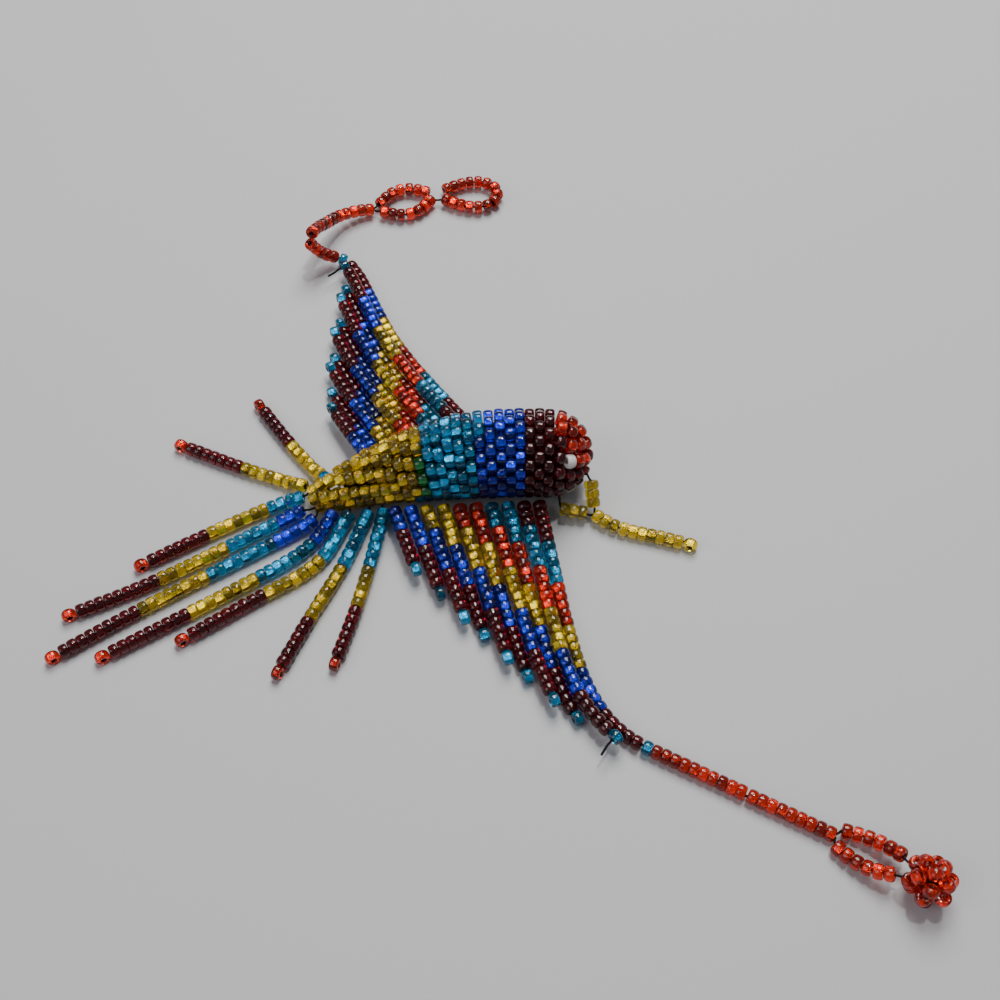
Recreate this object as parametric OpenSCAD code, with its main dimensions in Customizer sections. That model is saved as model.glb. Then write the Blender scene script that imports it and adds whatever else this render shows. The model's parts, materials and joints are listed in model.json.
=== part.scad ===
// Beaded hummingbird bracelet: glass seed beads sewn with black thread, lying flat on a surface.
// +X runs towards the head, +Y towards the double loop, +Z up. Sizes are in millimetres.

/* [Beads] */
// Outer diameter of a seed bead
bead_d = 2.1; // [1.8:0.05:2.6]
// Length of a seed bead along its hole
bead_len = 1.26; // [1.1:0.02:1.5]
// Diameter of a bead's hole
bore_d = 0.8; // [0.6:0.05:0.9]
// Free space between neighbouring beads
bead_gap = 0.05; // [0.04:0.01:0.1]
// Radius of the rounding across a bead's outside
round_r = 0.75; // [0.7:0.01:0.9]
// Diameter of the sewing thread
thread_d = 0.36; // [0.2:0.02:0.44]

/* [Body] */
// Outside diameter of the beaded body
body_d = 13; // [11:0.5:16]
// Length of the tapered tail end of the body
taper_len = 27.6; // [22:0.6:32]
// Length of the even part of the body
barrel_len = 7.9; // [5:0.1:11]
// Outside diameter of the body's pointed end
point_d = 4.8; // [4.8:0.1:6]
// Sideways bow of the body over its length
body_bow = 5; // [0:0.5:7]

/* [Wings] */
// Strands in each wing
wing_strands = 10; // [6:1:10]
// Beads of one colour in a full block of a wing strand
block = 5; // [4:1:6]
// Height of the wing roots above the surface
root_z = 2.8; // [2.6:0.1:4]

/* [Straps and clasp] */
// Beads in the inner half of the right strap
right_inner_beads = 10; // [6:1:14]
// Beads in the outer half of the right strap
right_outer_beads = 9; // [6:1:14]
// Diameter of the clasp button over its beads
button_d = 7; // [6.8:0.1:8.4]
// Beads in each side of the button's loop
button_loop_beads = 6; // [5:1:8]
// Length of each clasp loop along the strap, between bead centres
loop_len = 10.6; // [9.6:0.2:12]
// Width of each clasp loop across the strap, between bead centres
loop_width = 6; // [5.6:0.2:7]

/* [Tail and beak] */
// Height of the tail strands' roots above the surface
tail_root_z = 2; // [1.4:0.1:2.6]
// Beads in the single part of the beak
beak_beads = 10; // [8:1:14]
// Beads in each arm of the beak
arm_beads = 3; // [2:1:3]

/* [Hidden] */
$fn = 24;

bead_r = bead_d / 2;
bore_r = bore_d / 2;
thread_r = thread_d / 2;
// Radius of the flat ring at a bead's end
face_r = bead_r - round_r + sqrt(pow(round_r, 2) - pow(bead_len / 2, 2));
// Centre to centre, along a thread and side by side
pitch = bead_len + bead_gap;
spacing = bead_d + bead_gap;
// Shift that puts the origin under the middle of the whole piece
middle = [2.9, -2, 0];

// ---- Colours -------------------------------------------------------------------------------
function glass(kind) =
    kind == "gold" ? [0.83, 0.68, 0.05] :
    kind == "green" ? [0.1, 0.55, 0.2] :
    kind == "aqua" ? [0.1, 0.6, 0.78] :
    kind == "cobalt" ? [0.08, 0.14, 0.72] :
    kind == "garnet" ? [0.4, 0.02, 0.05] :
    kind == "orange" ? [0.85, 0.16, 0.04] : [0.92, 0.92, 0.9];
thread_black = [0.06, 0.06, 0.06];

// ---- Paths: lists of points ----------------------------------------------------------------
function seg(p, i) = norm(p[i + 1] - p[i]);
// Length of a path up to its point n
function path_len(p, n) = n <= 0 ? 0 : seg(p, n - 1) + path_len(p, n - 1);
// The point a distance s along a path, in line with its ends beyond them
function along(p, s, i = 0) =
    i >= len(p) - 2 || s <= seg(p, i) ? p[i] + (p[i + 1] - p[i]) * s / seg(p, i)
                                      : along(p, s - seg(p, i), i + 1);
// One point of the smooth curve through b and c
function between(a, b, c, d, t) =
    (2 * b + (c - a) * t + (2 * a - 5 * b + 4 * c - d) * t * t
     + (3 * b - a - 3 * c + d) * t * t * t) / 2;
// A smooth curve through every point of a path, in steps a piece
function smooth(p, steps = 5) =
    [for (i = [0 : len(p) - 2], k = [0 : steps - 1])
        between(i == 0 ? 2 * p[0] - p[1] : p[i - 1], p[i], p[i + 1],
                i == len(p) - 2 ? 2 * p[i + 1] - p[i] : p[i + 2], k / steps),
     p[len(p) - 1]];
function moved(p, by) = [for (q = p) q + by];
// A path kept from going under the surface
function grounded(p) = [for (q = p) [q.x, q.y, max(q.z, bead_r)]];
function unit(v) = v / norm(v);
function turn(u, v) = acos(min(1, unit(u) * unit(v))) * PI / 180;
function repeat(kind, n) = n > 0 ? [for (i = [1 : n]) kind] : [];

// ---- Beads on a path -----------------------------------------------------------------------
// Where each bead starts: a bend adds room, because the beads' inner edges meet there first
bend_room = face_r + 0.15;
function starts(p, n, s = 0) =
    n <= 0 ? [] :
    let (bend = turn(along(p, s + bead_len) - along(p, s),
                     along(p, s + bead_len + pitch) - along(p, s + pitch)))
    concat([s], starts(p, n - 1, s + pitch + bend * bend_room));

module bead() {
    rotate_extrude()
        intersection() {
            translate([bore_r, -bead_len / 2])
                square([bead_r - bore_r, bead_len]);
            translate([bead_r - round_r, 0])
                circle(round_r);
        }
}

// Turns +Z to the direction v
module aim(v) {
    rotate([0, acos(v.z / norm(v)), atan2(v.y, v.x)])
        children();
}

// The beads of a strand that are of one kind, or of every kind. A strand's last bead can be a
// stopper, which lies across the thread.
module strand_beads(p, kinds, only = "", stopper = "", from = 0) {
    s = starts(p, len(kinds), from);
    for (i = [0 : len(kinds) - 1])
        if (only == "" || only == kinds[i])
            color(glass(kinds[i]))
                translate((along(p, s[i]) + along(p, s[i] + bead_len)) / 2)
                    aim(along(p, s[i] + bead_len) - along(p, s[i]))
                        bead();
    if (stopper != "" && (only == "" || only == stopper))
        color(glass(stopper))
            at_stopper(p, s[len(s) - 1])
                bead();
}

// Places a stopper beyond the bead that starts at s
module at_stopper(p, s) {
    end = s + pitch;
    way = along(p, end) - along(p, end - bead_len);
    translate(along(p, end + bead_r))
        aim([-way.y, way.x, 0])
            children();
}

// ---- Threads -------------------------------------------------------------------------------
// A closed skin over rings of points, with a flat cap at each end
module skin(rings) {
    n = len(rings[0]);
    last = (len(rings) - 1) * n;
    polyhedron(
        points = [for (r = rings) each r],
        faces = concat(
            [[for (j = [0 : n - 1]) j], [for (j = [n - 1 : -1 : 0]) last + j]],
            [for (i = [0 : len(rings) - 2], j = [0 : n - 1])
                [i * n + j, (i + 1) * n + (j + 1) % n, i * n + (j + 1) % n]],
            [for (i = [0 : len(rings) - 2], j = [0 : n - 1])
                [i * n + j, (i + 1) * n + j, (i + 1) * n + (j + 1) % n]]));
}

// A ring of points round c, across the direction v
function ring(c, v, r, sides) =
    let (w = unit(v), side = unit(cross([0, 0, 1], w)), up = cross(w, side))
    [for (j = [0 : sides - 1]) c + r * (cos(360 * j / sides) * side + sin(360 * j / sides) * up)];

// A round thread through the points of a path
module thread(p, r = thread_r, sides = 5) {
    n = len(p) - 1;
    color(thread_black)
        skin([for (i = [0 : n]) ring(p[i], p[min(i + 1, n)] - p[max(i - 1, 0)], r, sides)]);
}

// The thread of a strand: it bends only between beads, and turns through the stopper
module strand_thread(p, beads, stopper = false, from = 0) {
    s = starts(p, beads, from);
    knees = [for (i = [1 : beads - 1]) (s[i - 1] + bead_len + s[i]) / 2];
    thread([for (t = concat([from], knees, [s[beads - 1] + bead_len])) along(p, t)]);
    if (stopper)
        color(thread_black)
            at_stopper(p, s[beads - 1])
                cylinder(h = bead_len, r = thread_r, center = true);
}

// ---- Body ----------------------------------------------------------------------------------
// The body is rings of beads across a curved axis. A ring is [x of its centre, its radius, how
// steeply the side rises there]. The belly lies along the surface.
row_pitch = 1.07 * pitch;
ring_max = body_d / 2 - bead_r;
// Smallest ring: three beads that touch
least_ring = spacing / 2 / sin(60) + 0.01;
ring_min = max(least_ring * 1.05, point_d / 2 - bead_r);
taper_rings = floor(taper_len / row_pitch);
barrel_rings = floor(barrel_len / row_pitch);
nose_x = barrel_rings * row_pitch;
nose_step = (row_pitch / (ring_max - face_r)) * 180 / PI;
nose_rings = floor(acos(least_ring / ring_max) / nose_step);
body_rings = concat(
    [for (i = [0 : taper_rings - 1])
        let (t = 90 * i / taper_rings)
        [(i - taper_rings) * row_pitch, ring_min + (ring_max - ring_min) * sin(t),
         atan((ring_max - ring_min) * cos(t) * PI / 2 / (taper_rings * row_pitch))]],
    [for (i = [0 : barrel_rings]) [i * row_pitch, ring_max, 0]],
    [for (i = [1 : nose_rings])
        [nose_x + ring_max * sin(i * nose_step), ring_max * cos(i * nose_step), -i * nose_step]],
    [[nose_x + ring_max, 0, -90]]);

// The axis: the x where it is furthest to the left, and its y there
bow_x = 4;
axis_y = 3.9;
function axis_point(b) =
    [b[0], axis_y - body_bow * pow((b[0] - bow_x) / 30, 2),
     bead_r + (b[0] > nose_x ? ring_max : b[1])];
function axis_way(b) =
    unit([1, -2 * body_bow * (b[0] - bow_x) / 900, b[0] > nose_x ? 0 : tan(b[2])]);
function beads_round(b) = b[1] == 0 ? 1 : floor(180 / asin(spacing / 2 / b[1]));
// The way from the axis to the angle a of a ring, from the left side over the top
function outward(b, a) =
    let (w = axis_way(b), side = unit(cross([0, 0, 1], w)))
    cos(a) * side + sin(a) * cross(w, side);

gold_end = -11.6;
aqua_end = -3;
cobalt_end = 3.5;
crown_start = 8.6;
eye_way = [0.62, -0.64, 0.45];
nose_centre = axis_point([nose_x, ring_max]);
function is_eye(c) =
    let (v = unit(c - nose_centre), under = [eye_way.x, eye_way.y * 0.9, -0.62])
    c.x > nose_x && (v * unit(eye_way) > cos(9) || v * unit(under) > cos(9));
function body_kind(c) =
    c.x < gold_end ? "gold" :
    c.x < gold_end + pitch && c.y < axis_y - 3 && c.z > 4 && c.z < 11 ? "green" :
    c.x < aqua_end ? "aqua" :
    c.x < cobalt_end ? "cobalt" :
    is_eye(c) ? "pearl" :
    c.x > crown_start && c.z > 9.4 - 0.55 * (c.x - crown_start) ? "orange" : "garnet";

module body_beads(kind) {
    for (k = [0 : len(body_rings) - 1]) {
        b = body_rings[k];
        n = beads_round(b);
        for (j = [0 : n - 1]) {
            out = outward(b, 360 * (j + (k % 2) / 2) / n);
            c = axis_point(b) + b[1] * out;
            if (body_kind(c) == kind)
                color(glass(kind))
                    translate(middle + c)
                        aim(b[1] == 0 ? outward(b, 0) : cos(b[2]) * axis_way(b) + sin(b[2]) * out)
                            bead();
        }
    }
}

// Thread hoops that hold the rows together from inside, up to where the head rounds off
hoop_r = 0.12;
module body_threads() {
    color(thread_black)
        for (k = [1 : len(body_rings) - 3]) {
            b = body_rings[k];
            c = body_rings[k + 1];
            if (min(b[1], c[1]) > 2.4 && c[0] <= nose_x)
                translate(middle + (axis_point(b) + axis_point(c)) / 2)
                    aim(axis_way(b) + axis_way(c))
                        rotate_extrude()
                            translate([(b[1] + c[1]) / 2 - bead_r, 0])
                                circle(hoop_r);
        }
}

stuffing_gap = 0.3;
module body_stuffing() {
    inner = bead_r + 2 * hoop_r + stuffing_gap;
    color([0.09, 0.08, 0.08])
        skin([for (b = body_rings) if (b[1] > inner + 0.5 && b[2] > -35)
            ring(axis_point(b) + middle, axis_way(b), b[1] - inner, 16)]);
}

// ---- Wings ---------------------------------------------------------------------------------
// The blocks of colour in strand k, counted from the trailing one. Odd strands start with a short
// block, and every second strand starts one colour further on.
colours = ["garnet", "aqua", "orange", "gold", "cobalt", "garnet"];
function wing_kinds(k) =
    let (first = ceil((wing_strands - k + 1) / 2) - 1, short = k % 2 == 1 ? block - 2 : block)
    concat(repeat(colours[first], short),
           [for (i = [first + 1 : 5]) each repeat(colours[i], k == 1 ? block - 1 : block)]);

// The leading strand from its root, first towards the tip of the right wing, then of the left one
right_lead = smooth([[0, 0, 0], [1.7, -9, 0], [3.4, -18, 0], [5, -25, 0], [7, -30.4, 0],
                     [10, -34.6, 0], [14, -37.6, 0]]);
left_lead = smooth([[0, 0, 0], [-4.8, 6.6, 0], [-9.8, 13.9, 0], [-13.8, 20.4, 0],
                    [-16.9, 27.2, 0], [-19.9, 33.6, 0], [-23.8, 38.2, 0]]);

// Side by side spacing of the strands at the tip, and how far the roots take to come down
tip_spread = 0.7;
settle_len = 17;

// Strand k of a wing: the leading strand's path, offset to its trailing side. Where the strands
// crowd, every second one rides up on its neighbours.
function wing_path(lead, k, side, root_spread) =
    let (n = len(lead) - 1, whole = path_len(lead, n), back = wing_strands - k)
    [for (i = [0 : n])
        let (s = path_len(lead, i),
             v = unit(lead[min(i + 1, n)] - lead[max(i - 1, 0)]),
             gap = spacing * (root_spread + (tip_spread - root_spread) * s / whole),
             down = min(1, s / settle_len),
             up = back % 2 == 1 ? sqrt(max(0, pow(spacing, 2) - pow(gap, 2))) : 0)
        lead[i] + back * gap * side * [-v.y, v.x, 0]
        + [0, 0, root_z - (root_z - bead_r) * down + up]];

// Each wing as [leading strand, root of the leading strand, side, spacing of the roots, how far
// out the leading strand starts, how much further out each next strand starts]
root_y = body_d / 2 * 0.92;
right_wing = [right_lead, [5.6, axis_y - root_y, 0], -1, 1.05, 0.1, -0.3];
left_wing = [left_lead, [-3.6, axis_y + root_y + 0.3, 0], 1, 0.82, 1.4, 0.55];
function strand_of(w, k) = moved(wing_path(w[0], k, w[2], w[3]), w[1] + middle);
function root_of(w, k) = w[4] + (wing_strands - k) * w[5];
function wing_stopper(k) = k < wing_strands ? "aqua" : "";

module wing_beads(w, kind) {
    for (k = [1 : wing_strands])
        strand_beads(strand_of(w, k), wing_kinds(k), kind, wing_stopper(k), root_of(w, k));
}

// The loose end of the sewing thread, in the frame of the stopper it comes out of
loose_end = [[0, 0, 0.75], [0.3, 0.2, 1.8], [0.1, 0.6, 3.2]];
module wing_threads(w) {
    for (k = [1 : wing_strands])
        strand_thread(strand_of(w, k), len(wing_kinds(k)), k < wing_strands, root_of(w, k));
    last = wing_strands - 1;
    n = len(wing_kinds(last));
    at_stopper(strand_of(w, last), starts(strand_of(w, last), n, root_of(w, last))[n - 1])
        thread(w[2] * loose_end);
}

// ---- Straps --------------------------------------------------------------------------------
// A strap hangs on the end of a wing's leading strand, and folds where its halves meet
fold_gap = 0.25;
function end_of(p, n, from) = starts(p, n, from)[n - 1] + pitch;
function wing_tip(w) =
    let (p = strand_of(w, wing_strands), n = len(wing_kinds(wing_strands)))
    along(p, end_of(p, n, root_of(w, wing_strands)));

right_way = unit([0.89, -0.456, 0]);
right_tip = wing_tip(right_wing) + fold_gap * right_way;
right_inner = [right_tip, right_tip + 4 * right_way, right_tip + 60 * right_way];
right_inner_kinds = concat(["aqua"], repeat("orange", right_inner_beads));
right_fold = along(right_inner, end_of(right_inner, right_inner_beads + 1, 0));
right_outer = moved(right_inner, right_fold + fold_gap * right_way - right_tip);

// The left strap climbs to its fold, then comes down to the surface
left_tip = wing_tip(left_wing);
left_inner = moved(smooth([[-0.5, 0.7, 0], [-1.8, 1, 0.5], [-3.2, 0.5, 1.6], [-4.5, -0.3, 3.4],
                           [-5.6, -0.8, 5.6]]), left_tip);
left_inner_beads = 5;
left_inner_kinds = concat(["aqua"], repeat("orange", left_inner_beads));
left_fold = along(left_inner, end_of(left_inner, left_inner_beads + 1, 0));
left_outer = grounded(moved(smooth([[0.2, 1.6, 0.3], [0.9, 3.8, -0.6], [2, 6.6, -2.4],
                                   [3.2, 9.2, -3.8], [5, 11.2, -4.8], [7.8, 12.6, -5.4],
                                   [10.8, 13.3, -6.2]]), left_fold));
left_outer_beads = 12;

module plain_strand(p, n, from = 0) {
    strand_beads(p, repeat("orange", n), from = from);
}

// ---- Button and its loop -------------------------------------------------------------------
// Each side of the loop starts beside the strap's end and bulges on its way to the button
button_r = button_d / 2 - bead_r;
loop_side = spacing / 2 + 0.05;
loop_bulge = 0.8;
button_way = unit([0.84, -0.54, 0]);
button_start = along(right_outer, end_of(right_outer, right_outer_beads, 0));
loop_reach = button_loop_beads * (pitch + 0.08);
button_centre = [button_start.x, button_start.y, button_d / 2]
                + (loop_reach + button_d / 2 + 0.2) * button_way;
function loop_arm(side) =
    [for (i = [0 : 10])
        let (t = i / 10)
        button_start + [0, 0, (button_d / 2 - bead_r) * t * t]
        + (0.3 + loop_reach * 1.06 * t) * button_way
        + side * (loop_side + loop_bulge * sin(180 * t)) * [-button_way.y, button_way.x, 0]];

module button_loop_beads() {
    for (side = [-1, 1])
        plain_strand(loop_arm(side), button_loop_beads, 0.05);
}

module button_loop_thread() {
    for (side = [-1, 1])
        strand_thread(loop_arm(side), button_loop_beads);
}

// Rings of beads round the button's core, each with its hole running pole to pole
button_step = 2 * atan((pitch / 2) / (button_r - face_r)) + 0.5;
function round_ball(r) = floor(180 / asin(spacing / 2 / r));
module button_beads() {
    color(glass("orange"))
        translate(button_centre) {
            for (row = [-1 : 1]) {
                n = round_ball(button_r * cos(row * button_step));
                for (j = [0 : n - 1])
                    rotate([0, -row * button_step, 360 * (j + row / 2) / n])
                        translate([button_r, 0, 0])
                            bead();
            }
            for (pole = [-1, 1])
                translate([0, 0, pole * button_r])
                    rotate([90, 0, 0])
                        bead();
        }
}

core_gap = 0.1;
module button_thread_ball() {
    color(thread_black)
        translate(button_centre)
            sphere(r = button_r - bead_r - core_gap);
}

// ---- Clasp loops ---------------------------------------------------------------------------
// The loops form a figure of eight: the near one is pointed at both ends, the far one at its start
near_way = [cos(19), sin(19), 0];
far_way = [1, 0, 0];
cross_gap = 0.75;
near_start = along(left_outer, end_of(left_outer, left_outer_beads, 0)) + 0.3 * near_way;
near_end = near_start + loop_len * near_way;
function across(v) = [-v.y, v.x, 0];
function near_side(side) =
    [for (i = [0 : 20])
        near_start + loop_len * i / 20 * near_way
        + side * loop_width / 2 * sin(9 * i) * across(near_way)];
far_loop = [for (i = [0 : 40])
    let (t = 9 * i)
    near_end + loop_len / 2 * (1 - cos(t)) * far_way
    + 0.65 * loop_width * sin(t) * sin(t / 2) * across(far_way)];
// Beads that fit a path between its ends, when it turns by so many degrees in all
function whole(p) = path_len(p, len(p) - 1);
function fitting(p, turning) =
    floor((whole(p) - 2 * cross_gap - bend_room * turning * PI / 180) / pitch);
// Where the first bead starts when the beads sit in the middle of a path
function centred(p, n) =
    (whole(p) - (starts(p, n, cross_gap)[n - 1] + bead_len - cross_gap)) / 2;
near_side_beads = fitting(near_side(1), 84);
far_loop_beads = fitting(far_loop, 254);

module near_loop_beads() {
    for (side = [-1, 1])
        plain_strand(near_side(side), near_side_beads, centred(near_side(side), near_side_beads));
}

module near_loop_thread() {
    for (side = [-1, 1])
        strand_thread(near_side(side), near_side_beads,
                      from = centred(near_side(side), near_side_beads));
}

module far_loop_beads() {
    plain_strand(far_loop, far_loop_beads, centred(far_loop, far_loop_beads));
}

module far_loop_thread() {
    strand_thread(far_loop, far_loop_beads, from = centred(far_loop, far_loop_beads));
}

// ---- Beak ----------------------------------------------------------------------------------
// Two arms from the chest meet in one pointed row
beak_base = [13.6, -3.4, bead_r + 0.4];
beak_path = moved(smooth([[0, 0, 0], [2.4, -1.6, -0.2], [4.8, -2.5, -0.4], [7.6, -3.2, -0.4],
                          [12, -4.4, -0.4], [22, -7.6, -0.4]]), beak_base + middle);
arm_ways = [[-0.1, 0.75, 0.65], [-0.95, 0.1, 0.15]];
arm_gap = 1.1;
function arm_path(way) =
    [beak_base + middle + arm_gap * unit(way), beak_base + middle + 12 * unit(way)];

module beak_strand_beads() {
    strand_beads(beak_path, repeat("gold", beak_beads), stopper = "gold");
    for (way = arm_ways)
        strand_beads(arm_path(way), repeat("gold", arm_beads));
}

module beak_strand_threads() {
    strand_thread(beak_path, beak_beads, true);
    for (way = arm_ways)
        strand_thread(arm_path(way), arm_beads);
}

// ---- Tail ----------------------------------------------------------------------------------
// Each strand as [root, point where it reaches the surface, two more points, blocks of colour]
tail = [
    [[-25.2, 2.2], [-28.3, 5.6], [-32.2, 10.4], [-38, 18.4], ["aqua", 1, "gold", 6, "garnet", 6]],
    [[-28.3, 1.1], [-32.2, 2.8], [-38.1, 5], [-49, 9.6], ["gold", 8, "garnet", 7]],
    [[-28.5, -0.7], [-32.4, -1.6], [-41.5, -6.4], [-54, -13.6],
     ["aqua", 4, "gold", 7, "garnet", 7]],
    [[-28.4, -2.9], [-32, -4.6], [-47.8, -14], [-62, -20.8],
     ["cobalt", 3, "aqua", 6, "gold", 8, "garnet", 9]],
    [[-26.5, -4.4], [-31, -7.2], [-50.4, -19.2], [-64, -28.4],
     ["cobalt", 5, "aqua", 8, "gold", 8, "garnet", 9]],
    [[-23.9, -3.4], [-27.4, -8.8], [-35.4, -14.6], [-60, -29.8],
     ["cobalt", 4, "aqua", 7, "gold", 8, "garnet", 9]],
    [[-21.6, -3.5], [-26, -11.6], [-35.3, -18], [-49, -27.2],
     ["aqua", 6, "gold", 7, "garnet", 9]],
    [[-18.95, -3.3], [-22.2, -11.8], [-26.7, -21.1], [-32, -33],
     ["aqua", 7, "gold", 7, "garnet", 6]],
    [[-16.7, -3], [-18.3, -11.2], [-20.2, -19.7], [-23.2, -30],
     ["aqua", 7, "gold", 5, "garnet", 6]]];
function on_surface(q, z) = [q.x, q.y, z] + middle;
function tail_path(k) =
    let (t = tail[k - 1])
    grounded(smooth([on_surface(t[0], tail_root_z), on_surface(t[1], bead_r),
                     on_surface(t[2], bead_r), on_surface(t[3], bead_r)]));
function tail_kinds(k) =
    let (b = tail[k - 1][4])
    [for (i = [0 : 2 : len(b) - 2]) each repeat(b[i], b[i + 1])];

module tail_beads(k) {
    strand_beads(tail_path(k), tail_kinds(k), stopper = "orange");
}

module tail_thread(k) {
    strand_thread(tail_path(k), len(tail_kinds(k)), true);
}

// ---- Drawing -------------------------------------------------------------------------------
body_stuffing();
body_threads();
body_beads("gold");  // body_gold_beads
body_beads("green");  // body_green_beads
body_beads("aqua");  // body_aqua_beads
body_beads("cobalt");  // body_cobalt_beads
body_beads("garnet");  // body_garnet_beads
body_beads("orange");  // crown_orange_beads
body_beads("pearl");  // eye_beads
wing_beads(right_wing, "garnet");  // right_wing_garnet_beads
wing_beads(right_wing, "aqua");  // right_wing_aqua_beads
wing_beads(right_wing, "orange");  // right_wing_orange_beads
wing_beads(right_wing, "gold");  // right_wing_gold_beads
wing_beads(right_wing, "cobalt");  // right_wing_cobalt_beads
wing_threads(right_wing);  // right_wing_threads
wing_beads(left_wing, "garnet");  // left_wing_garnet_beads
wing_beads(left_wing, "aqua");  // left_wing_aqua_beads
wing_beads(left_wing, "orange");  // left_wing_orange_beads
wing_beads(left_wing, "gold");  // left_wing_gold_beads
wing_beads(left_wing, "cobalt");  // left_wing_cobalt_beads
wing_threads(left_wing);  // left_wing_threads
strand_beads(right_inner, right_inner_kinds);  // right_strap_inner_beads
strand_thread(right_inner, len(right_inner_kinds));  // right_strap_inner_thread
plain_strand(right_outer, right_outer_beads);  // right_strap_outer_beads
strand_thread(right_outer, right_outer_beads);  // right_strap_outer_thread
button_loop_beads();
button_loop_thread();
button_beads();
button_thread_ball();
strand_beads(left_inner, left_inner_kinds);  // left_strap_inner_beads
strand_thread(left_inner, len(left_inner_kinds));  // left_strap_inner_thread
plain_strand(left_outer, left_outer_beads);  // left_strap_outer_beads
strand_thread(left_outer, left_outer_beads);  // left_strap_outer_thread
near_loop_beads();
near_loop_thread();
far_loop_beads();
far_loop_thread();
beak_strand_beads();  // beak_beads
beak_strand_threads();  // beak_threads
tail_beads(1);  // tail_strand_1_beads
tail_thread(1);  // tail_strand_1_thread
tail_beads(2);  // tail_strand_2_beads
tail_thread(2);  // tail_strand_2_thread
tail_beads(3);  // tail_strand_3_beads
tail_thread(3);  // tail_strand_3_thread
tail_beads(4);  // tail_strand_4_beads
tail_thread(4);  // tail_strand_4_thread
tail_beads(5);  // tail_strand_5_beads
tail_thread(5);  // tail_strand_5_thread
tail_beads(6);  // tail_strand_6_beads
tail_thread(6);  // tail_strand_6_thread
tail_beads(7);  // tail_strand_7_beads
tail_thread(7);  // tail_strand_7_thread
tail_beads(8);  // tail_strand_8_beads
tail_thread(8);  // tail_strand_8_thread
tail_beads(9);  // tail_strand_9_beads
tail_thread(9);  // tail_strand_9_thread
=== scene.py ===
"""Beaded hummingbird bracelet: glass seed beads on black thread, lying on a pale surface."""

import json
import math
import random

import bpy
import numpy as np
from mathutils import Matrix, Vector


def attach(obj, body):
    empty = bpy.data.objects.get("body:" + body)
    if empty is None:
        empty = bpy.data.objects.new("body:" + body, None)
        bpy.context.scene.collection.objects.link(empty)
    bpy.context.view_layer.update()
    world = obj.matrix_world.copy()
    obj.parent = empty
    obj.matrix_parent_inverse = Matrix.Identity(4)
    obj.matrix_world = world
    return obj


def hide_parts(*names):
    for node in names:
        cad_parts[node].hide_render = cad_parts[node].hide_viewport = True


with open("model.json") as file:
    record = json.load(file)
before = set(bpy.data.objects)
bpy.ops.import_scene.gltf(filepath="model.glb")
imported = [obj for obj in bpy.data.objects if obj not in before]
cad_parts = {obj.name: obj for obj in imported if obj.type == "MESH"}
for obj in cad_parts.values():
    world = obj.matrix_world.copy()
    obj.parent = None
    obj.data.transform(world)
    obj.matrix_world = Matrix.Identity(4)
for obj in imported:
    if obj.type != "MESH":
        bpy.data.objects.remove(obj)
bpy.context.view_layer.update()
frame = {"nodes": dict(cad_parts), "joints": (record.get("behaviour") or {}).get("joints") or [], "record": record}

MM = 0.001
rng = random.Random(7)

# ---- Camera, light and floor ----------------------------------------------------------------
CAMERA_AT = Vector((2.9, -112.4, 170)) * MM
CAMERA_DOWN = math.radians(57)
LENS_PER_WIDTH = 1.384
FLOOR_SIZE = 3.0


def add_camera():
    data = bpy.data.cameras.new("camera")
    data.lens = data.sensor_width * LENS_PER_WIDTH
    data.clip_start = 0.01
    camera = bpy.data.objects.new("camera", data)
    camera.location = CAMERA_AT
    camera.rotation_euler = (math.pi / 2 - CAMERA_DOWN, 0, 0)
    bpy.context.scene.collection.objects.link(camera)
    bpy.context.scene.camera = camera


def add_light(name, at, size, power, colour):
    data = bpy.data.lights.new(name, "AREA")
    data.size = size
    data.energy = power
    data.color = colour
    light = bpy.data.objects.new(name, data)
    light.location = at
    light.rotation_euler = (-Vector(at)).to_track_quat("-Z", "Y").to_euler()
    bpy.context.scene.collection.objects.link(light)


def add_world():
    world = bpy.data.worlds.new("room_light")
    world.use_nodes = True
    background = world.node_tree.nodes["Background"]
    background.inputs["Color"].default_value = (0.9, 0.93, 1.0, 1)
    background.inputs["Strength"].default_value = 0.22
    bpy.context.scene.world = world


# ---- Materials ------------------------------------------------------------------------------
GLASS = {
    "gold": (0.92, 0.66, 0.010),
    "green": (0.02, 0.32, 0.08),
    "aqua": (0.015, 0.42, 0.72),
    "cobalt": (0.012, 0.045, 0.72),
    "garnet": (0.24, 0.002, 0.008),
    "orange": (0.90, 0.035, 0.004),
    "pearl": (0.85, 0.84, 0.80),
}
# How much light passes through each glass, and whether its hole is lined with silver
CLEARNESS = {"garnet": 0.9, "pearl": 0.2}
LINED = {"gold", "green", "aqua", "cobalt", "orange"}


def new_material(name):
    material = bpy.data.materials.new(name)
    material.use_nodes = True
    return material, material.node_tree.nodes, material.node_tree.links


def add_node(nodes, kind, **values):
    node = nodes.new(kind)
    for key, value in values.items():
        node.inputs[key].default_value = value
    return node


def toned(nodes, links, colour, low, high):
    """The colour, lighter or darker from bead to bead by its tone."""
    tone = nodes.new("ShaderNodeAttribute")
    tone.attribute_name = "tone"
    value = add_node(nodes, "ShaderNodeMapRange", **{"To Min": low, "To Max": high})
    links.new(tone.outputs["Fac"], value.inputs["Value"])
    shade = add_node(nodes, "ShaderNodeHueSaturation", Color=(*colour, 1))
    links.new(value.outputs["Result"], shade.inputs["Value"])
    return shade.outputs["Color"]


def roughened(nodes, links, shader, scale, low, high):
    """Varies the shader's roughness over the surface."""
    noise = add_node(nodes, "ShaderNodeTexNoise", Scale=scale, Detail=3.0)
    rough = add_node(nodes, "ShaderNodeMapRange", **{"To Min": low, "To Max": high})
    links.new(noise.outputs["Fac"], rough.inputs["Value"])
    links.new(rough.outputs["Result"], shader.inputs["Roughness"])
    return noise


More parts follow.
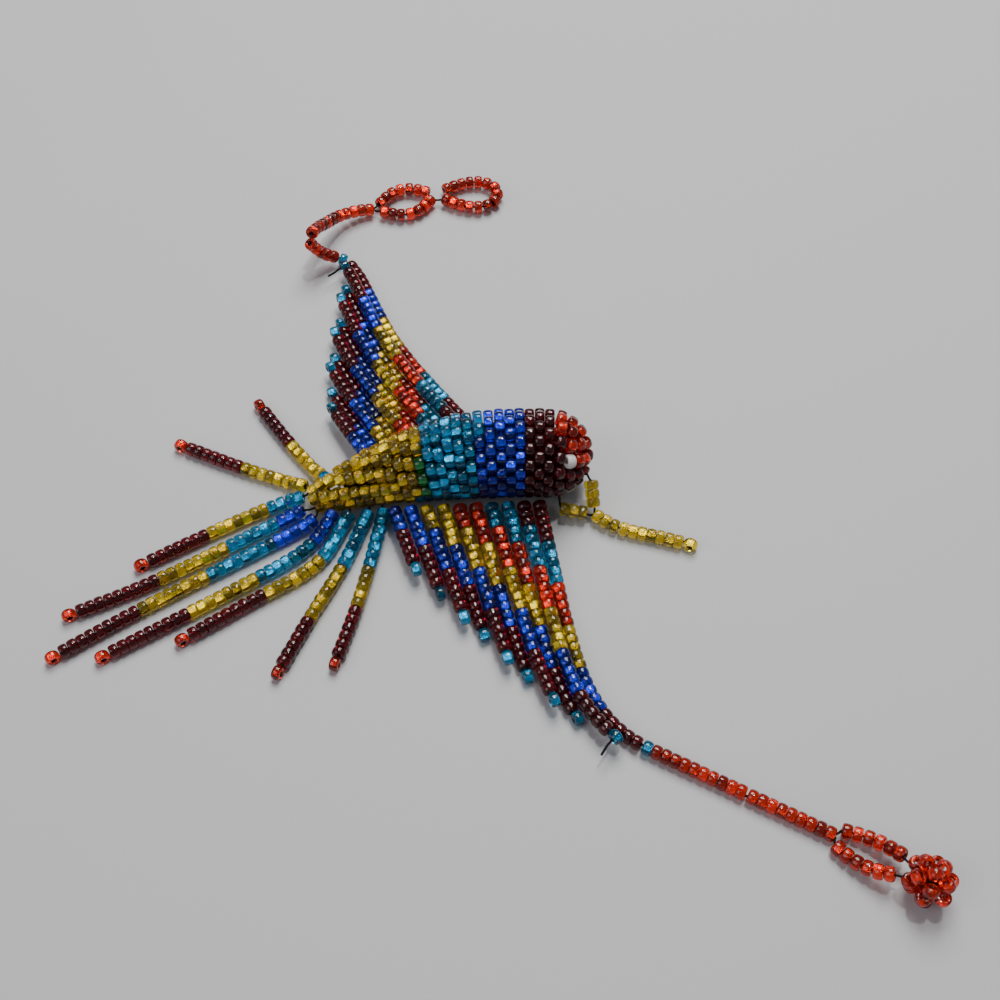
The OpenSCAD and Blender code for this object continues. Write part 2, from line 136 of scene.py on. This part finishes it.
def bumped(nodes, links, shader, height, strength, distance):
    bump = add_node(nodes, "ShaderNodeBump", Strength=strength, Distance=distance)
    links.new(height, bump.inputs["Height"])
    links.new(bump.outputs["Normal"], shader.inputs["Normal"])


def glass(kind):
    material, nodes, links = new_material("glass_" + kind)
    shader = nodes["Principled BSDF"]
    shader.inputs["IOR"].default_value = 1.5
    shader.inputs["Transmission Weight"].default_value = CLEARNESS.get(kind, 0.94)
    links.new(toned(nodes, links, GLASS[kind], 0.6, 1.15), shader.inputs["Base Color"])
    noise = roughened(nodes, links, shader, 900.0, 0.0, 0.05)
    bumped(nodes, links, shader, noise.outputs["Fac"], 0.12, 0.00003)
    return material


def lining(kind):
    """The silver in a bead's hole, seen through the coloured glass."""
    material, nodes, links = new_material("lining_" + kind)
    shader = nodes["Principled BSDF"]
    shader.inputs["Metallic"].default_value = 1.0
    pale = tuple(0.7 + 0.3 * c for c in GLASS[kind])
    links.new(toned(nodes, links, pale, 0.35, 1.2), shader.inputs["Base Color"])
    noise = roughened(nodes, links, shader, 1500.0, 0.08, 0.25)
    bumped(nodes, links, shader, noise.outputs["Fac"], 0.5, 0.00005)
    return material


def thread_black():
    material, nodes, links = new_material("thread_black")
    shader = nodes["Principled BSDF"]
    shader.inputs["Base Color"].default_value = (0.012, 0.012, 0.014, 1)
    shader.inputs["Specular IOR Level"].default_value = 0.1
    twist = add_node(nodes, "ShaderNodeTexWave", Scale=1200.0, Distortion=2.0)
    bumped(nodes, links, shader, twist.outputs["Fac"], 0.6, 0.00005)
    roughened(nodes, links, shader, 800.0, 0.5, 0.8)
    return material


def floor_white():
    material, nodes, links = new_material("floor_pale")
    shader = nodes["Principled BSDF"]
    noise = roughened(nodes, links, shader, 60.0, 0.55, 0.75)
    shade = add_node(
        nodes, "ShaderNodeMixRGB", Color1=(0.45, 0.45, 0.455, 1), Color2=(0.48, 0.48, 0.485, 1)
    )
    links.new(noise.outputs["Fac"], shade.inputs["Fac"])
    links.new(shade.outputs["Color"], shader.inputs["Base Color"])
    return material


# ---- Bead shape -----------------------------------------------------------------------------
BEAD_R = 1.05 * MM
BEAD_HALF = 0.63 * MM
HOLE_R = 0.4 * MM
ROUNDING = 0.34 * MM
# Below 1, the rounded wall bulges towards a square corner
SQUARENESS = 0.8
# The rim of the hole: how wide it flares, and where the flare starts as a share of half a bead
FLARE = 0.1 * MM
FLARE_START = 0.88
LINER_R = 0.58 * MM
LINER_SHARE = 0.8
SIDES = 20


def bead_profile():
    """Points (radius, height) round a bead's wall: out along one end, over the side and back."""
    corner = BEAD_R - ROUNDING
    wall = [
        (
            corner + ROUNDING * math.cos(a) ** SQUARENESS,
            BEAD_HALF * math.copysign(abs(math.sin(a)) ** SQUARENESS, a),
        )
        for a in (math.radians(d) for d in range(-85, 86, 17))
    ]
    mouth = [(HOLE_R, -BEAD_HALF * FLARE_START), (HOLE_R + FLARE, -BEAD_HALF)]
    return mouth + wall + [(r, -z) for r, z in reversed(mouth)]


def ring_mesh(profile, sides, closed):
    """Vertices and faces of a profile turned round the Z axis."""
    n = len(profile)
    verts = [
        (r * math.cos(2 * math.pi * j / sides), r * math.sin(2 * math.pi * j / sides), z)
        for j in range(sides)
        for r, z in profile
    ]
    faces = []
    for j in range(sides):
        k = (j + 1) % sides
        for i in range(n if closed else n - 1):
            m = (i + 1) % n
            faces.append((j * n + i, k * n + i, k * n + m, j * n + m))
    return np.array(verts), np.array(faces)


BEAD = ring_mesh(bead_profile(), SIDES, True)
# The hole's lining is square, so that each bead flashes its own way
LINER = ring_mesh([(LINER_R, z * BEAD_HALF) for z in (-LINER_SHARE, LINER_SHARE)], 4, False)


# ---- Reading the beads' places from the frame -------------------------------------------------
def solids(node):
    """The vertices of each separate solid of a CAD node."""
    mesh = frame["nodes"][node].data
    points = np.empty(len(mesh.vertices) * 3)
    mesh.vertices.foreach_get("co", points)
    points = points.reshape(-1, 3)
    _, same = np.unique(np.round(points * 1e7).astype(np.int64), axis=0, return_inverse=True)
    same = same.reshape(-1)
    edges = np.empty(len(mesh.edges) * 2, dtype=np.int64)
    mesh.edges.foreach_get("vertices", edges)
    edges = same[edges].reshape(-1, 2)
    label = np.arange(same.max() + 1)
    while True:
        low = np.minimum(label[edges[:, 0]], label[edges[:, 1]])
        before = label.copy()
        np.minimum.at(label, edges[:, 0], low)
        np.minimum.at(label, edges[:, 1], low)
        label = label[label]
        if (label == before).all():
            break
    welded = np.zeros((len(label), 3))
    welded[same] = points
    return [welded[label == value] for value in np.unique(label)]


def bead_place(points):
    """Centre and hole direction of a bead: the direction in which its spread is the odd one out."""
    centre = points.mean(axis=0)
    spread, ways = np.linalg.eigh(np.cov((points - centre).T))
    odd = 0 if spread[1] - spread[0] > spread[2] - spread[1] else 2
    return centre, ways[:, odd]


def turned(way, spin):
    """Axes of a bead whose hole runs along way, as the columns of a matrix."""
    side = np.cross(way, (0.3, 0.5, 0.8))
    side /= np.linalg.norm(side)
    up = np.cross(way, side)
    return np.array(
        [math.cos(spin) * side + math.sin(spin) * up, math.cos(spin) * up - math.sin(spin) * side, way]
    ).T


# ---- Strings of beads ------------------------------------------------------------------------
# The body's rows stand a little apart, so its beads are the longer ones
ROW_ROOM = 1.07
# How much the beads differ in width and in length
WIDTHS = (0.96, 1.01)
LENGTHS = (0.97, 1.05)
glass_of = {kind: glass(kind) for kind in GLASS}
lining_of = {kind: lining(kind) for kind in sorted(LINED)}


def make_beads(name, places, kinds, room):
    """One mesh of beads, each at its (centre, way) and of its kind of glass, drawn out by room."""
    used = sorted(set(kinds))
    materials = [glass_of[k] for k in used] + [lining_of[k] for k in used if k in LINED]
    verts, faces, indices, tones = [], [], [], []
    count = 0
    for (centre, way), kind in zip(places, kinds):
        axes = turned(way, rng.uniform(0, 2 * math.pi))
        width = rng.uniform(*WIDTHS)
        stretch = np.array([width, width, rng.uniform(*LENGTHS) * room])
        tone = rng.random()
        shapes = [(BEAD, used.index(kind))]
        if kind in LINED:
            shapes.append((LINER, materials.index(lining_of[kind])))
        for (points, quads), index in shapes:
            verts.append((points * stretch) @ axes.T + centre)
            faces.append(quads + count)
            indices.append(np.full(len(quads), index))
            tones.append(np.full(len(points), tone))
            count += len(points)
    mesh = bpy.data.meshes.new(name)
    mesh.from_pydata(np.concatenate(verts).tolist(), [], np.concatenate(faces).tolist())
    for material in materials:
        mesh.materials.append(material)
    mesh.polygons.foreach_set("material_index", np.concatenate(indices))
    mesh.polygons.foreach_set("use_smooth", np.concatenate(indices) < len(used))
    mesh.attributes.new("tone", "FLOAT", "POINT").data.foreach_set("value", np.concatenate(tones))
    mesh.update()
    strand = bpy.data.objects.new(name, mesh)
    bpy.context.scene.collection.objects.link(strand)
    return strand


def body_of(node):
    return next(b for b, members in frame["record"]["behaviour"]["bodies"].items() if node in members)


def root_of(body):
    """Where a moving body's hinge is."""
    return next(np.array(j["pos_m"]) for j in frame["joints"] if j["child"] == body)


# Colours of the strands that mix them, from the root
TAIL = {
    1: (("aqua", 1), ("gold", 6), ("garnet", 6)),
    2: (("gold", 8), ("garnet", 7)),
    3: (("aqua", 4), ("gold", 7), ("garnet", 7)),
    4: (("cobalt", 3), ("aqua", 6), ("gold", 8), ("garnet", 9)),
    5: (("cobalt", 5), ("aqua", 8), ("gold", 8), ("garnet", 9)),
    6: (("cobalt", 4), ("aqua", 7), ("gold", 8), ("garnet", 9)),
    7: (("aqua", 6), ("gold", 7), ("garnet", 9)),
    8: (("aqua", 7), ("gold", 7), ("garnet", 6)),
    9: (("aqua", 7), ("gold", 5), ("garnet", 6)),
}
MIXED = {f"tail_strand_{k}_beads": blocks for k, blocks in TAIL.items()}
MIXED["right_strap_inner_beads"] = (("aqua", 1),)
MIXED["left_strap_inner_beads"] = (("aqua", 1),)


def kinds_of(node, places):
    """The kind of glass of each bead: one for the whole node, or blocks counted from its root."""
    if node in MIXED:
        order = np.argsort([np.linalg.norm(c - root_of(body_of(node))) for c, _ in places])
        blocks = [kind for kind, n in MIXED[node] for _ in range(n)]
        blocks += ["orange"] * (len(places) - len(blocks))
        kinds = [""] * len(places)
        for place, kind in zip(order, blocks):
            kinds[place] = kind
        return kinds
    if node == "eye_beads":
        return ["pearl"] * len(places)
    if node == "beak_beads":
        return ["gold"] * len(places)
    kind = next((k for k in GLASS if k in node), "orange")
    return [kind] * len(places)


def add_beads():
    for node in sorted(n for n in frame["nodes"] if n.endswith("_beads")):
        places = [bead_place(points) for points in solids(node)]
        room = ROW_ROOM if node.startswith(("body", "crown", "eye")) else 1.0
        strand = make_beads("glass_" + node, places, kinds_of(node, places), room)
        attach(strand, body_of(node))
        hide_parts(node)


# ---- Threads ---------------------------------------------------------------------------------
# Strands whose thread runs on into the next node, each as (node, the node that it runs into)
RUNS_ON = [
    ("right_strap_inner_thread", "right_wing_threads"),
    ("right_strap_outer_thread", "right_strap_inner_thread"),
    ("button_loop_thread", "right_strap_outer_thread"),
    ("button_loop_thread", "button_thread_ball"),
    ("left_strap_inner_thread", "left_wing_threads"),
    ("left_strap_outer_thread", "left_strap_inner_thread"),
    ("near_loop_thread", "left_strap_outer_thread"),
    ("far_loop_thread", "near_loop_thread"),
    ("beak_threads", "body_garnet_beads"),
] + [(f"tail_strand_{k}_thread", "body_gold_beads") for k in range(1, 10)]
RUN_LIMIT = 4 * MM
RUN_R = 0.17 * MM
RUN_SAG = 0.2 * MM
RUN_STEPS = 4


def nearest(points, others):
    """The nearest two of the points of two lists."""
    apart = np.linalg.norm(points[:, None, :] - others[None, :, :], axis=2)
    i, j = np.unravel_index(apart.argmin(), apart.shape)
    return points[i], others[j]


def add_run(name, start, end, black):
    """A short stretch of thread that sags a little between two points."""
    curve = bpy.data.curves.new(name, "CURVE")
    curve.dimensions = "3D"
    curve.bevel_depth = RUN_R
    curve.bevel_resolution = 2
    curve.use_fill_caps = True
    spline = curve.splines.new("POLY")
    spline.points.add(RUN_STEPS)
    for i, point in enumerate(spline.points):
        t = i / RUN_STEPS
        at = start + (end - start) * t
        point.co = (*at[:2], at[2] - RUN_SAG * math.sin(math.pi * t), 1)
    curve.materials.append(black)
    run = bpy.data.objects.new(name, curve)
    bpy.context.scene.collection.objects.link(run)
    return run


def add_thread_runs(black):
    for node, onward in RUNS_ON:
        target = np.concatenate(solids(onward))
        for i, points in enumerate(solids(node)):
            start, end = nearest(points, target)
            if np.linalg.norm(end - start) < RUN_LIMIT:
                run = add_run(f"run_{node}_{onward}_{i}", start, end, black)
                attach(run, body_of(node))


def add_beak_knot(black):
    """The two arms' threads run on into the beak's."""
    strands = sorted(solids("beak_threads"), key=lambda p: np.ptp(p, axis=0).max())
    for i, points in enumerate(strands[:-1]):
        start, end = nearest(points, strands[-1])
        if np.linalg.norm(end - start) < RUN_LIMIT:
            run = add_run(f"knot_beak_{i}", start, end, black)
            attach(run, "beak")


def paint_threads(black):
    for node, part in frame["nodes"].items():
        if not node.endswith("_beads"):
            part.data.materials.clear()
            part.data.materials.append(black)


# ---- The scene -------------------------------------------------------------------------------
def add_floor():
    bpy.ops.mesh.primitive_plane_add(size=FLOOR_SIZE, location=(0, 0, 0))
    floor = bpy.context.object
    floor.name = "floor"
    floor.data.materials.append(floor_white())


add_camera()
add_world()
add_light("key", (0.05, 0.35, 0.55), 0.35, 4.6, (1.0, 0.98, 0.95))
add_light("fill", (-0.6, -0.3, 0.7), 0.6, 2.5, (0.92, 0.95, 1.0))
add_light("glint", (0.15, 0.2, 1.0), 0.06, 3.0, (1.0, 1.0, 1.0))
add_floor()
black_thread = thread_black()
paint_threads(black_thread)
add_thread_runs(black_thread)
add_beak_knot(black_thread)
add_beads()
